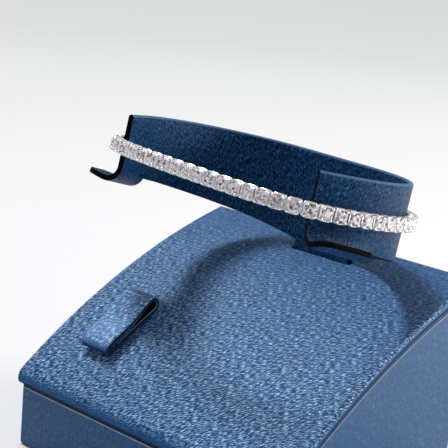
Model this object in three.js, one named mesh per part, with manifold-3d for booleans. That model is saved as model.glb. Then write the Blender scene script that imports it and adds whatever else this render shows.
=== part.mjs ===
import * as THREE from 'three';
import { mergeVertices } from 'three/addons/utils/BufferGeometryUtils.js';
import Module from 'manifold-3d';

const wasm = await Module();
wasm.setup();

// Tennis bracelet worn round a C-shaped holder on an arched display block.
// Millimetres. X runs along the block's low front edge, -Y is the front, +Z is up.
// The origin is the middle of the block's flat underside.

const DEG = Math.PI / 180;
const GAP = 0.3;
const WELD = 1e-4;

// Display block: a wrapped box under an arched, overhanging top panel.
const BLOCK_WIDTH = 71.4;
const BLOCK_DEPTH = 61.6;
const FRONT_HEIGHT = 16.5;
const ARCH_RADIUS = 158.5;
const ARCH_TOP_BEHIND_FRONT = 96.9;
const PANEL_THICKNESS = 2.4;
const PANEL_ROUND = 1.0;
const PANEL_SIDE_ROUND = 0.7;
const BOX_INSET = 1.0;
const BOX_ROUND = 1.3;
const ARCH_STEPS = 18;

// Holder: a thin strip bent to a C, leaning back, with a leg in the block
// and a short hook tab turned out at each end.
const HOLDER_BEHIND_FRONT = 38.8;
const SEAT_ACROSS = 5.4;
const HOLDER_LEAN_BACK = 9.3 * DEG;
const HOLDER_LEAN_SIDE = 2.2 * DEG;
const STRIP_THICKNESS = 1.1;
const STRIP_EDGE_CUT = 0.25;
const BACK_HEIGHT = 20.8;
const JOIN_HEIGHT = 13.6;
const TAB_LENGTH = 12.0;
const TAB_CORNER = 3.2;
const TAB_CORNER_HEIGHT = 14.3;
const TAB_BEND_RADIUS = 3.0;
const TAB_BEND_FADE = 4.0;
const TAB_BEND_DROP = 1.5;
const STATION_STEP = 4.4;
const PLAN_DIVISIONS = 60;
const CORNER_SHARES = [0.4, 0.75, 0.93, 1];
const BEND_STOP_SHARES = [0.12, 0.28, 0.44, 0.62, 0.8];
const ABOVE_BEND_SHARE = 0.92;
const LEG_HALF_WIDTH = 7.2;
const LEG_OFFSET = 2.3;
const LEG_DEPTH = 5.0;
const LEG_SHOULDER = 0.4;
const SLOT_CLEARANCE = 0.35;

// The two tabs, bent by hand: plan place of the strip's end, the height below the rim
// where the bend starts, how far it turns, and the flat length after it.
const TABS = {
  left: { across: -24.9, along: -22.1, bendHeight: 11.0, turn: 101 * DEG, reach: 4.4 },
  right: { across: 24.2, along: -21.1, bendHeight: 10.2, turn: 113 * DEG, reach: 3.6 },
};

// Half plan of the strip's outer face, from the middle of the back almost to one end.
const STRIP_HALF_PLAN = [
  { across: 0.0, along: 18.7 },
  { across: 9.0, along: 18.7 },
  { across: 14.0, along: 17.9 },
  { across: 18.8, along: 15.8 },
  { across: 23.2, along: 12.2 },
  { across: 26.6, along: 7.6 },
  { across: 28.8, along: 1.9 },
  { across: 29.5, along: -4.2 },
  { across: 28.9, along: -10.5 },
  { across: 26.8, along: -16.8 },
];

// Half plan of the bracelet's middle line, round the strip and across the opening. It is
// the same on both sides but for one row, where it turns at the strip's left end.
const BRACELET_HALF_PLAN = [
  { across: 0.0, along: 20.15 },
  { across: 9.2, along: 20.15 },
  { across: 14.5, along: 19.3 },
  { across: 19.7, along: 17.0 },
  { across: 24.4, along: 13.1 },
  { across: 28.0, along: 8.2 },
  { across: 30.3, along: 2.2 },
  { across: 31.0, along: -4.3 },
  { across: 30.4, along: -10.9 },
  { across: 28.5, along: -17.6 },
  { across: 25.2, along: -23.4 },
  { across: 18.4, along: -27.0 },
  { across: 9.2, along: -28.1 },
  { across: 0.0, along: -28.3 },
];
const LEFT_END_ROW = 10;
const LEFT_END = { across: -25.75, along: -23.75 };
const BRACELET_DROP = 7.17;
const BRACELET_TILT_ACROSS = -0.0157;
const BRACELET_TILT_ALONG = -0.0171;

// Bracelet links: square four-claw settings hinged in a row.
const LINK_PITCH = 3.07;
const LINK_GAP = 0.37;
const SETTING_LENGTH = LINK_PITCH - LINK_GAP;
const SETTING_HEIGHT = 2.9;
const SETTING_FLOOR = -1.08;
const RAIL_DEPTH = 0.42;
const CLAW_RADIUS = 0.34;
const CLAW_TOP = 0.86;
const CLAW_TIP = 1.12;
const CLAW_FOOT = -0.85;
const CLAW_FOOT_SHARE = 0.82;
const CLAW_FOOT_INSET = 0.04;
const CLAW_SIDES = 5;
const HINGE_HEIGHT = 1.1;
const HINGE_OVERLAP = 0.3;
const HINGE_DEPTH = 0.34;
const STONE_DIAMETER = 2.56;
const STONE_GIRDLE = 0.5;
const STONE_CROWN = 0.4;
const STONE_PAVILION = 1.1;
const STONE_TABLE_SHARE = 0.57;
const STONE_SIDES = 8;

// Box clasp that closes the loop behind the holder.
const CLASP_SHORTEST = 6.5;
const CLASP_OFFSET = -0.6;
const CLASP_HEIGHT = 3.0;
const CLASP_DEPTH = 2.2;
const CLASP_ROUND = 0.35;
const CLASP_END_GAP = 0.13;

// Ring tab: a strap folded into a flattened loop on the slope at the left.
const STRAP_FROM_SIDE = 11.0;
const STRAP_WIDTH = 7.7;
const STRAP_BEHIND_FRONT = 8.8;
const STRAP_LENGTH = 16.9;
const STRAP_THICKNESS = 1.0;
const STRAP_FRONT_RADIUS = 1.5;
const STRAP_BACK_RADIUS = 1.9;
const STRAP_SLIT_START = 2.4;
const STRAP_SLIT_RADIUS = 0.4;
const STRAP_LIFT = 0.42;
const STRAP_EDGE_ROUND = 0.25;

const LOOKS = {
  block_base: { color: 0x3a5a86, roughness: 0.6, metalness: 0 },
  block_top: { color: 0x3f6393, roughness: 0.55, metalness: 0 },
  bracelet_holder: { color: 0x10305a, roughness: 0.55, metalness: 0 },
  ring_tab: { color: 0x1d416a, roughness: 0.55, metalness: 0 },
  bracelet_chain: { color: 0xd9d9de, roughness: 0.2, metalness: 0.8 },
  box_clasp: { color: 0xcfd0d4, roughness: 0.25, metalness: 1 },
};

const toSolid = (geometry) => {
  const bare = new THREE.BufferGeometry();
  bare.setAttribute('position', geometry.getAttribute('position').clone());
  if (geometry.index) {
    bare.setIndex(geometry.index.clone());
  }
  const welded = mergeVertices(bare, WELD);
  const index = welded.index.array;
  const whole = [];
  for (let i = 0; i < index.length; i += 3) {
    const [a, b, c] = [index[i], index[i + 1], index[i + 2]];
    if (a !== b && b !== c && c !== a) {
      whole.push(a, b, c);
    }
  }
  const mesh = new wasm.Mesh({
    numProp: 3,
    vertProperties: new Float32Array(welded.getAttribute('position').array),
    triVerts: new Uint32Array(whole),
  });
  return new wasm.Manifold(mesh);
};

const toGeometry = (solid) => {
  const mesh = solid.getMesh();
  const geometry = new THREE.BufferGeometry();
  geometry.setAttribute('position', new THREE.BufferAttribute(new Float32Array(mesh.vertProperties), 3));
  geometry.setIndex(new THREE.BufferAttribute(new Uint32Array(mesh.triVerts), 1));
  return geometry;
};

// Triangles over a flat outline, wound the same way round as its points.
const capFaces = (outline) => {
  const flat = outline.map((p) => new THREE.Vector2(p.out, p.up));
  const sense = Math.sign(THREE.ShapeUtils.area(flat));
  return THREE.ShapeUtils.triangulateShape(flat, []).map(([a, b, c]) => {
    const area = THREE.ShapeUtils.area([flat[a], flat[b], flat[c]]);
    return Math.sign(area) === sense ? [a, b, c] : [a, c, b];
  });
};

// A closed skin over equal rings of points, with a flat cap at each end.
const loft = (rings, firstOutline, lastOutline) => {
  const size = rings[0].length;
  const faces = [];
  for (let i = 0; i + 1 < rings.length; i += 1) {
    for (let j = 0; j < size; j += 1) {
      const a = i * size + j;
      const b = i * size + ((j + 1) % size);
      faces.push(b, a, b + size);
      faces.push(b + size, a, a + size);
    }
  }
  const lastStart = (rings.length - 1) * size;
  capFaces(firstOutline).forEach(([a, b, c]) => faces.push(a, b, c));
  capFaces(lastOutline).forEach(([a, b, c]) => faces.push(a + lastStart, c + lastStart, b + lastStart));
  const geometry = new THREE.BufferGeometry();
  geometry.setFromPoints(rings.flat());
  geometry.setIndex(faces);
  return geometry;
};

const mirrorRow = (row) => ({ across: -row.across, along: row.along });

// A smooth plan curve through the rows of a table.
const planCurve = (rows, closed) => {
  const points = rows.map((row) => new THREE.Vector3(row.across, row.along, 0));
  const curve = new THREE.CatmullRomCurve3(points, closed, 'centripetal');
  curve.arcLengthDivisions = 2000;
  return curve;
};

// The strip's plan from its left end round the back to its right end.
const stripPlan = () => {
  const left = STRIP_HALF_PLAN.map(mirrorRow).reverse();
  return planCurve([TABS.left, ...left, ...STRIP_HALF_PLAN.slice(1), TABS.right], false);
};

// The bracelet's plan from the middle of the back, to the right and round.
const braceletPlan = () => {
  const left = BRACELET_HALF_PLAN.map((row, k) => (k === LEFT_END_ROW ? LEFT_END : mirrorRow(row)));
  return planCurve([...BRACELET_HALF_PLAN, ...left.slice(1, -1).reverse()], true);
};

// Height of the arched surface, or of one that lies a given depth under it.
const FRONT_Y = -BLOCK_DEPTH / 2;
const ARCH_CENTRE_Y = FRONT_Y + ARCH_TOP_BEHIND_FRONT;
const ARCH_CENTRE_Z = FRONT_HEIGHT - Math.sqrt(ARCH_RADIUS ** 2 - ARCH_TOP_BEHIND_FRONT ** 2);
const archHeight = (y, under) => {
  const radius = ARCH_RADIUS - under;
  return ARCH_CENTRE_Z + Math.sqrt(radius ** 2 - (y - ARCH_CENTRE_Y) ** 2);
};

// The leaning frame in which the holder and the bracelet lie level. Its height puts the
// strip's full back height one gap over the arch, at SEAT_ACROSS beside the middle.
const holderFrame = () => {
  const up = new THREE.Vector3(
    Math.sin(HOLDER_LEAN_SIDE),
    Math.sin(HOLDER_LEAN_BACK) * Math.cos(HOLDER_LEAN_SIDE),
    Math.cos(HOLDER_LEAN_BACK) * Math.cos(HOLDER_LEAN_SIDE),
  );
  const across = new THREE.Vector3(1, 0, 0).addScaledVector(up, -up.x).normalize();
  const along = new THREE.Vector3().crossVectors(up, across);
  const matrix = new THREE.Matrix4().makeBasis(across, along, up);
  const foot = new THREE.Vector3(
    SEAT_ACROSS,
    STRIP_HALF_PLAN[0].along,
    -BACK_HEIGHT,
  ).applyMatrix4(matrix);
  const y = FRONT_Y + HOLDER_BEHIND_FRONT;
  matrix.setPosition(0, y, archHeight(y + foot.y, 0) + GAP - foot.z);
  return matrix;
};

const HOLDER = holderFrame();

const inHolder = (point) => point.clone().applyMatrix4(HOLDER);

// A point at a distance along the arched surface and a height over it.
const onArch = (start, distance, height) => {
  const angle = Math.asin((start - ARCH_CENTRE_Y) / ARCH_RADIUS) + distance / ARCH_RADIUS;
  const radius = ARCH_RADIUS + height;
  return new THREE.Vector2(ARCH_CENTRE_Y + radius * Math.sin(angle), ARCH_CENTRE_Z + radius * Math.cos(angle));
};

const archLine = (under, from, to, steps) => {
  const points = [];
  for (let i = 0; i <= steps; i += 1) {
    const y = from + ((to - from) * i) / steps;
    points.push(new THREE.Vector2(y, archHeight(y, under)));
  }
  return points;
};

// An outline whose sharp corners are replaced by short round turns.
const roundedOutline = (corners, radius, steps) => {
  const result = [];
  corners.forEach((corner, i) => {
    const before = corners[(i + corners.length - 1) % corners.length];
    const after = corners[(i + 1) % corners.length];
    const back = before.clone().sub(corner).normalize();
    const ahead = after.clone().sub(corner).normalize();
    const turn = Math.acos(Math.min(1, Math.max(-1, -back.dot(ahead))));
    if (turn < 20 * DEG) {
      result.push(corner.clone());
      return;
    }
    const inward = back.clone().add(ahead).normalize();
    const centre = corner.clone().addScaledVector(inward, radius / Math.cos(turn / 2));
    const sense = Math.sign(back.cross(ahead)) * -1;
    const first = corner.clone().addScaledVector(back, radius * Math.tan(turn / 2)).sub(centre);
    for (let k = 0; k <= steps; k += 1) {
      const spoke = first.clone().rotateAround(new THREE.Vector2(0, 0), (sense * turn * k) / steps);
      result.push(spoke.add(centre));
    }
  });
  return result;
};

// Extrudes a (Y, Z) outline along X with rounded side edges.
const acrossX = (outline, holes, left, right, round, segments) => {
  const shape = new THREE.Shape(outline);
  holes.forEach((hole) => shape.holes.push(new THREE.Path(hole)));
  const geometry = new THREE.ExtrudeGeometry(shape, {
    depth: right - left - 2 * round,
    bevelEnabled: true,
    bevelThickness: round,
    bevelSize: round,
    bevelOffset: -round,
    bevelSegments: segments,
    steps: 1,
    curveSegments: 1,
  });
  const turn = new THREE.Matrix4().makeBasis(
    new THREE.Vector3(0, 1, 0),
    new THREE.Vector3(0, 0, 1),
    new THREE.Vector3(1, 0, 0),
  );
  geometry.applyMatrix4(turn);
  geometry.translate(left + round, 0, 0);
  return geometry;
};

const blockTop = () => {
  const back = FRONT_Y + BLOCK_DEPTH;
  const upper = archLine(0, FRONT_Y, back, ARCH_STEPS);
  const lower = archLine(PANEL_THICKNESS, FRONT_Y, back, ARCH_STEPS).reverse();
  const outline = roundedOutline([...lower, ...upper], PANEL_ROUND, 3);
  return acrossX(outline, [], -BLOCK_WIDTH / 2, BLOCK_WIDTH / 2, PANEL_SIDE_ROUND, 3);
};

const blockBase = () => {
  const front = FRONT_Y + BOX_INSET;
  const back = FRONT_Y + BLOCK_DEPTH - BOX_INSET;
  const upper = archLine(PANEL_THICKNESS + GAP, front, back, ARCH_STEPS).reverse();
  const corners = [new THREE.Vector2(front, 0), new THREE.Vector2(back, 0), ...upper];
  const outline = roundedOutline(corners, BOX_ROUND / 2, 2);
  const side = BLOCK_WIDTH / 2 - BOX_INSET;
  return acrossX(outline, [], -side, side, BOX_ROUND / 2, 2);
};

// The pocket through panel and box that takes the holder's leg.
const legSlot = () => {
  const width = 2 * (LEG_HALF_WIDTH + LEG_SHOULDER + SLOT_CLEARANCE);
  const depth = STRIP_THICKNESS + 2 * SLOT_CLEARANCE;
  const height = 2 * (LEG_DEPTH + SLOT_CLEARANCE);
  const slot = new THREE.BoxGeometry(width, depth, height);
  const middle = STRIP_HALF_PLAN[0].along - STRIP_THICKNESS / 2;
  slot.translate(LEG_OFFSET, middle, -BACK_HEIGHT);
  slot.applyMatrix4(HOLDER);
  return slot;
};

// Lower edge of the strip, which tapers evenly from the back to each tab.
const plainHeight = (fromBack, toTab) => {
  const share = Math.min(1, fromBack / toTab);
  return BACK_HEIGHT + (JOIN_HEIGHT - BACK_HEIGHT) * share;
};

// How the strip is bent at a distance from its end: the bend starts a little lower towards
// the back of the tab and fades out behind it.
const foldAt = (end, tab) => ({
  start: tab.bendHeight + TAB_BEND_DROP * Math.min(1, end / TAB_LENGTH),
  turn: tab.turn,
  bend: 1 - Math.min(1, Math.max(0, end - TAB_LENGTH) / TAB_BEND_FADE),
});

// Lower edge of a tab at a distance from the strip's end: a tongue with two round corners.
const tabHeight = (end, tab, fold, plain) => {
  const full = fold.start + TAB_BEND_RADIUS * fold.turn + tab.reach;
  const middle = TAB_LENGTH / 2;
  const foot = end < middle ? TAB_CORNER_HEIGHT : plain;
  const into = Math.max(0, Math.abs(end - middle) - (middle - TAB_CORNER)) / TAB_CORNER;
  return foot + (full - foot) * Math.sqrt(Math.max(0, 1 - into ** 2));
};

// Centre line of the strip's section: straight down, then turned outward.
const sectionPoint = (q, fold) => {
  const out = -STRIP_THICKNESS / 2;
  if (q <= fold.start || fold.bend < WELD) {
    return { out, up: -q, angle: 0 };
  }
  const radius = TAB_BEND_RADIUS / fold.bend;
  const angle = Math.min((q - fold.start) / radius, fold.turn);
  const rest = q - fold.start - angle * radius;
  return {
    out: out + radius * (1 - Math.cos(angle)) + rest * Math.sin(angle),
    up: -fold.start - radius * Math.sin(angle) - rest * Math.cos(angle),
    angle,
  };
};

const sectionRing = (length, fold) => {
  const half = STRIP_THICKNESS / 2;
  const beyond = Math.max(0, length - fold.start);
  const stops = [STRIP_EDGE_CUT, fold.start * ABOVE_BEND_SHARE];
  BEND_STOP_SHARES.forEach((share) => stops.push(fold.start + beyond * share));
  stops.push(length - STRIP_EDGE_CUT);
  const side = (sign) => stops.map((q) => {
    const at = sectionPoint(q, fold);
    return {
      out: at.out + sign * half * Math.cos(at.angle),
      up: at.up + sign * half * Math.sin(at.angle),
    };
  });
  const inset = half - STRIP_EDGE_CUT;
  const tip = sectionPoint(length, fold);
  const tipPoint = (sign) => ({
    out: tip.out + sign * inset * Math.cos(tip.angle),
    up: tip.up + sign * inset * Math.sin(tip.angle),
  });
  const rimPoint = (sign) => ({ out: -half + sign * inset, up: 0 });
  return [rimPoint(-1), rimPoint(1), ...side(1), tipPoint(1), tipPoint(-1), ...side(-1).reverse()];
};

// Distances from the strip's end at which its section is drawn: close together in the
// tab's round corners, then evenly up to the leg.
const sideStops = (halfLength, legReach) => {
  const tabStops = [0];
  CORNER_SHARES.slice(0, -1).reverse().forEach((share) => tabStops.push(TAB_CORNER * (1 - share)));
  tabStops.push(TAB_CORNER, TAB_LENGTH - TAB_CORNER);
  CORNER_SHARES.forEach((share) => tabStops.push(TAB_LENGTH - TAB_CORNER * (1 - share)));
  const legStart = halfLength - legReach - LEG_SHOULDER;
  const count = Math.round((legStart - TAB_LENGTH) / STATION_STEP);
  const step = (legStart - TAB_LENGTH) / count;
  const fieldStops = Array.from({ length: count }, (_, k) => TAB_LENGTH + step * (k + 1));
  return [...tabStops, ...fieldStops, halfLength - legReach];
};

const braceletHolder = () => {
  const plan = stripPlan();
  const lengths = plan.getLengths(2 * PLAN_DIVISIONS * (STRIP_HALF_PLAN.length));
  const total = lengths[lengths.length - 1];
  const back = lengths[(lengths.length - 1) / 2];
  const left = { half: back, tab: TABS.left, legReach: LEG_HALF_WIDTH - LEG_OFFSET };
  const right = { half: total - back, tab: TABS.right, legReach: LEG_HALF_WIDTH + LEG_OFFSET };
  const stations = [
    ...sideStops(left.half, left.legReach).map((end) => ({ s: end, end, side: left })),
    { s: back, end: back, side: left },
    ...sideStops(right.half, right.legReach).reverse()
      .map((end) => ({ s: total - end, end, side: right })),
  ];
  const sections = stations.map(({ s, end, side }) => {
    const { half, tab, legReach } = side;
    const u = s / total;
    const at = plan.getPointAt(u);
    const heading = plan.getTangentAt(u);
    const outward = new THREE.Vector3(-heading.y, heading.x, 0);
    const plain = plainHeight(half - end, half - TAB_LENGTH);
    const inTab = end < TAB_LENGTH + WELD;
    const leg = half - end <= legReach + WELD ? LEG_DEPTH : 0;
    const fold = foldAt(end, tab);
    const length = inTab ? tabHeight(end, tab, fold, plain) : plain + leg;
    return { at, outward, outline: sectionRing(length, fold) };
  });
  const rings = sections.map(({ at, outward, outline }) => outline.map(({ out, up }) => inHolder(
    new THREE.Vector3(at.x + outward.x * out, at.y + outward.y * out, up),
  )));
  return loft(rings, sections[0].outline, sections[sections.length - 1].outline);
};

// A round brilliant with a flat table, a crown of facets, a girdle and a pavilion.
const stoneGeometry = () => {
  const radius = STONE_DIAMETER / 2;
  const profile = [
    new THREE.Vector2(0, STONE_GIRDLE - STONE_PAVILION),
    new THREE.Vector2(radius, STONE_GIRDLE),
    new THREE.Vector2(radius * STONE_TABLE_SHARE, STONE_GIRDLE + STONE_CROWN),
    new THREE.Vector2(0, STONE_GIRDLE + STONE_CROWN),
  ];
  const stone = new THREE.LatheGeometry(profile, STONE_SIDES);
  stone.rotateY(Math.PI / STONE_SIDES);
  return stone;
};

const clawGeometry = (signAlong, signUp) => {
  const along = SETTING_LENGTH / 2 - CLAW_RADIUS;
  const up = SETTING_HEIGHT / 2 - CLAW_RADIUS;
  const profile = [
    new THREE.Vector2(0, CLAW_FOOT),
    new THREE.Vector2(CLAW_RADIUS * CLAW_FOOT_SHARE, CLAW_FOOT),
    new THREE.Vector2(CLAW_RADIUS, CLAW_TOP),
    new THREE.Vector2(0, CLAW_TIP),
  ];
  const claw = new THREE.LatheGeometry(profile, CLAW_SIDES);
  const position = claw.getAttribute('position');
  for (let i = 0; i < position.count; i += 1) {
    const share = (CLAW_TOP - position.getY(i)) / (CLAW_TOP - CLAW_FOOT);
    const inset = CLAW_FOOT_INSET * Math.max(0, share);
    const x = signAlong * (position.getX(i) + along - inset);
    const z = signUp * (position.getZ(i) + up - inset);
    position.setXYZ(i, x, position.getY(i), z);
  }
  if (signAlong * signUp < 0) {
    const index = claw.index;
    for (let i = 0; i < index.count; i += 3) {
      const b = index.getX(i + 1);
      index.setX(i + 1, index.getX(i + 2));
      index.setX(i + 2, b);
    }
  }
  return claw;
};

// One setting: local X along the chain, Y outward, Z up the link's height.
const linkSolid = () => {
  const base = new THREE.BoxGeometry(SETTING_LENGTH, RAIL_DEPTH, SETTING_HEIGHT);
  base.translate(0, SETTING_FLOOR + RAIL_DEPTH / 2, 0);
  let solid = toSolid(stoneGeometry()).add(toSolid(base));
  [-1, 1].forEach((a) => {
    [-1, 1].forEach((b) => {
      solid = solid.add(toSolid(clawGeometry(a, b)));
    });
  });
  return solid;
};

const braceletPath = () => {
  const curve = braceletPlan();
  const total = curve.getLength();
  return {
    total,
    at: (distance) => {
      const share = (((distance / total) % 1) + 1) % 1;
      const flat = curve.getPointAt(share);
      const drop = BRACELET_DROP - BRACELET_TILT_ACROSS * flat.x - BRACELET_TILT_ALONG * flat.y;
      return new THREE.Vector3(flat.x, flat.y, -drop);
    },
  };
};

// Placement of a rigid piece whose two ends lie on the bracelet's line.
const placeBetween = (path, from, to) => {
  const start = path.at(from);
  const end = path.at(to);
  const heading = end.clone().sub(start).normalize();
  const outward = new THREE.Vector3().crossVectors(heading, new THREE.Vector3(0, 0, 1)).negate().normalize();
  const rise = new THREE.Vector3().crossVectors(heading, outward);
  const matrix = new THREE.Matrix4().makeBasis(heading, outward, rise);
  matrix.setPosition(start.clone().add(end).multiplyScalar(0.5));
  return { matrix: HOLDER.clone().multiply(matrix), length: start.distanceTo(end) };
};

// As many whole links as the loop takes, and the clasp spans what is left.
const linkCount = (path) => Math.floor((path.total - CLASP_SHORTEST) / LINK_PITCH);

const claspHalfSpan = (path) => (path.total - linkCount(path) * LINK_PITCH) / 2;

const braceletChain = () => {
  const path = braceletPath();
  const first = CLASP_OFFSET + claspHalfSpan(path);
  const link = linkSolid();
  const count = linkCount(path);
  const pieces = [];
  for (let i = 0; i < count; i += 1) {
    const from = first + i * LINK_PITCH;
    const { matrix } = placeBetween(path, from, from + LINK_PITCH);
    pieces.push(link.transform(matrix.elements));
  }
  for (let i = 1; i < count; i += 1) {
    const at = first + i * LINK_PITCH;
    const reach = (LINK_PITCH - SETTING_LENGTH) / 2 + HINGE_OVERLAP;
    const { matrix, length } = placeBetween(path, at - reach, at + reach);
    const hinge = new THREE.BoxGeometry(length, HINGE_DEPTH, HINGE_HEIGHT);
    hinge.translate(0, SETTING_FLOOR + RAIL_DEPTH / 2, 0);
    hinge.applyMatrix4(matrix);
    pieces.push(toSolid(hinge));
  }
  return toGeometry(wasm.Manifold.union(pieces));
};

const boxClasp = () => {
  const path = braceletPath();
  const span = claspHalfSpan(path);
  const { matrix, length } = placeBetween(path, CLASP_OFFSET - span, CLASP_OFFSET + span);
  const body = length - 2 * CLASP_END_GAP;
  const half = CLASP_HEIGHT / 2;
  const deep = CLASP_DEPTH / 2;
  const corners = [
    new THREE.Vector2(-deep, -half),
    new THREE.Vector2(deep, -half),
    new THREE.Vector2(deep, half),
    new THREE.Vector2(-deep, half),
  ];
  const box = acrossX(roundedOutline(corners, CLASP_ROUND, 2), [], -body / 2, body / 2, CLASP_ROUND, 2);
  box.applyMatrix4(matrix);
  return box;
};

const ringTab = () => {
  const frontY = FRONT_Y + STRAP_BEHIND_FRONT;
  const loop = (from, fromRadius, to, toRadius, lift, steps) => {
    const points = [];
    const lean = Math.asin((toRadius - fromRadius) / (to - from));
    for (let k = 0; k <= steps; k += 1) {
      const a = -Math.PI / 2 + ((Math.PI + lean) * k) / steps;
      points.push([to + toRadius * Math.cos(a), lift(to) + toRadius * Math.sin(a)]);
    }
    for (let k = 0; k <= steps; k += 1) {
      const a = Math.PI / 2 + lean + ((Math.PI - lean) * k) / steps;
      points.push([from + fromRadius * Math.cos(a), lift(from) + fromRadius * Math.sin(a)]);
    }
    return points.map(([along, height]) => onArch(frontY, along, height + STRAP_LIFT));
  };
  const backAt = STRAP_LENGTH - STRAP_BACK_RADIUS;
  const rise = (STRAP_BACK_RADIUS - STRAP_FRONT_RADIUS) / (backAt - STRAP_FRONT_RADIUS);
  const middle = (along) => STRAP_FRONT_RADIUS + rise * (along - STRAP_FRONT_RADIUS);
  const outer = loop(STRAP_FRONT_RADIUS, STRAP_FRONT_RADIUS, backAt, STRAP_BACK_RADIUS, middle, 8);
  const hollowRadius = STRAP_BACK_RADIUS - STRAP_THICKNESS;
  const inner = loop(STRAP_SLIT_START, STRAP_SLIT_RADIUS, backAt, hollowRadius, middle, 6);
  const left = -BLOCK_WIDTH / 2 + STRAP_FROM_SIDE;
  return acrossX(outer, [inner.reverse()], left, left + STRAP_WIDTH, STRAP_EDGE_ROUND, 1);
};

const slot = toSolid(legSlot());
const parts = {
  block_base: toGeometry(toSolid(blockBase()).subtract(slot)),
  block_top: toGeometry(toSolid(blockTop()).subtract(slot)),
  bracelet_holder: toGeometry(toSolid(braceletHolder())),
  ring_tab: toGeometry(toSolid(ringTab())),
  bracelet_chain: braceletChain(),
  box_clasp: toGeometry(toSolid(boxClasp())),
};

const group = new THREE.Group();
group.name = 'tennis_bracelet_on_display_stand';
Object.entries(parts).forEach(([name, geometry]) => {
  geometry.computeVertexNormals();
  const mesh = new THREE.Mesh(geometry, new THREE.MeshStandardMaterial(LOOKS[name]));
  mesh.name = name;
  group.add(mesh);
});

export default group;
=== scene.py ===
"""Tennis bracelet on its leatherette display stand.

Metres in the scene, millimetres in the tables and sizes below. X runs along the block's
low front edge, -Y is the front and +Z is up.
"""

import bpy
import numpy as np
from mathutils import Matrix, Vector


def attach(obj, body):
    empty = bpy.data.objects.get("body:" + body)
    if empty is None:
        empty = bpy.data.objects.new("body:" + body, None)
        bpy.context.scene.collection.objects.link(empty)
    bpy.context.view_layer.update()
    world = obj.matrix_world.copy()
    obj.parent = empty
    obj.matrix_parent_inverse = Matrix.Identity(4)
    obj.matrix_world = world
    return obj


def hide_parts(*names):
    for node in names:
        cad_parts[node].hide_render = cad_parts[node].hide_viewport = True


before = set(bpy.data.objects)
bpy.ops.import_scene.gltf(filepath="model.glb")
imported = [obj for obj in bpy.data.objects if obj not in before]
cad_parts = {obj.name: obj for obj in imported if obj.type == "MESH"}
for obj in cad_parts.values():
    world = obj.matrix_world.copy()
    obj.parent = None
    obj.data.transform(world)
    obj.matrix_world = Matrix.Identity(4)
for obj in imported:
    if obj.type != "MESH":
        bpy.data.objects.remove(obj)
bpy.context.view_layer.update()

MM = 0.001
DEG = np.pi / 180

# Display block
BLOCK_WIDTH = 71.4
BLOCK_DEPTH = 61.6
FRONT_HEIGHT = 16.5
ARCH_RADIUS = 158.5
ARCH_TOP_BEHIND_FRONT = 96.9
PANEL_THICKNESS = 2.4
PANEL_ROUND = 1.15
PANEL_SIDE_ROUND = 0.9
BOX_INSET = 1.0
BOX_ROUND = 0.8
BOX_SIDE_ROUND = 0.4
SIDE_SEAM_DROP = 0.3
SIDE_REACH = 0.05
SLAB_ROUND_STEPS = 9
SLAB_ROWS = 90
SEAM_GAP = 0.3

# Holder strip
HOLDER_BEHIND_FRONT = 38.8
SEAT_ACROSS = 5.4
HOLDER_LEAN_BACK = 9.3 * DEG
HOLDER_LEAN_SIDE = 2.2 * DEG
STRIP_THICKNESS = 1.1
BACK_HEIGHT = 20.8
JOIN_HEIGHT = 13.6
TAB_LENGTH = 12.0
TAB_CORNER = 3.2
TAB_CORNER_HEIGHT = 14.3
TAB_BEND_RADIUS = 3.0
TAB_BEND_FADE = 4.0
TAB_BEND_DROP = 1.5
LEG_HALF_WIDTH = 7.2
LEG_OFFSET = 2.3
LEG_DEPTH = 5.0
LEG_SHOULDER = 0.4
SLOT_CLEARANCE = 0.35
RIM_STEPS = 9
UPPER_STEPS = 12
LOWER_STEPS = 22
LOWER_SHORTEST = 0.2
CUT_ROUND = 0.1
CORNER_STOPS = 20
FIELD_STOPS = 64
FIELD_START = 0.4
TINY = 1e-3

# The two tabs: plan place of the strip's end, the distance below the rim at which the bend
# starts, how far it turns, and the flat length after it
LEFT_TAB = {
    "across": -24.9, "along": -22.1, "bend_height": 11.0, "turn": 101 * DEG, "reach": 4.4,
}
RIGHT_TAB = {
    "across": 24.2, "along": -21.1, "bend_height": 10.2, "turn": 113 * DEG, "reach": 3.6,
}

# Half plans, from the middle of the back round to the front: across, along
STRIP_HALF_PLAN = np.array([
    (0.0, 18.7), (9.0, 18.7), (14.0, 17.9), (18.8, 15.8), (23.2, 12.2), (26.6, 7.6),
    (28.8, 1.9), (29.5, -4.2), (28.9, -10.5), (26.8, -16.8),
])
BRACELET_HALF_PLAN = np.array([
    (0.0, 20.15), (9.2, 20.15), (14.5, 19.3), (19.7, 17.0), (24.4, 13.1), (28.0, 8.2),
    (30.3, 2.2), (31.0, -4.3), (30.4, -10.9), (28.5, -17.6), (25.2, -23.4),
    (18.4, -27.0), (9.2, -28.1), (0.0, -28.3),
])
LEFT_END_ROW = 10
LEFT_END = (-25.75, -23.75)
BRACELET_DROP = 7.17
BRACELET_TILT_ACROSS = -0.0157
BRACELET_TILT_ALONG = -0.0171

# Settings, hinges and stones. Depths are outward from the middle line of the chain
LINK_PITCH = 3.07
LINK_GAP = 0.37
SETTING_LENGTH = LINK_PITCH - LINK_GAP
SETTING_HEIGHT = 2.9
SETTING_FLOOR = -1.08
CLAW_RADIUS = 0.34
CLAW_BEAD_HEIGHT = 0.82
CLAW_SIDES = 7
TUBE_START = (0.3, 0.1, 0.95)
RAIL_BAR = 0.42
RAIL_CORNER = 0.4
COLLAR_BAR = 0.22
COLLAR_DEEP = 0.5
COLLAR_CORNER = 0.42
COLLAR_DROP = 0.16
HINGE_DEPTH = SETTING_FLOOR + RAIL_BAR / 2
HINGE_OVERLAP = 0.3
HINGE_RADIUS = 0.5
HINGE_END = 0.1
HINGE_SIDES = 12
HINGE_FLATNESS = 0.34
PIN_RADIUS = 0.13
PIN_END = 0.05
PIN_SIDES = 8
PIN_HALF = 0.95
END_ROUND = 0.02
HINGE_SIGHT = 0.05
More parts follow.
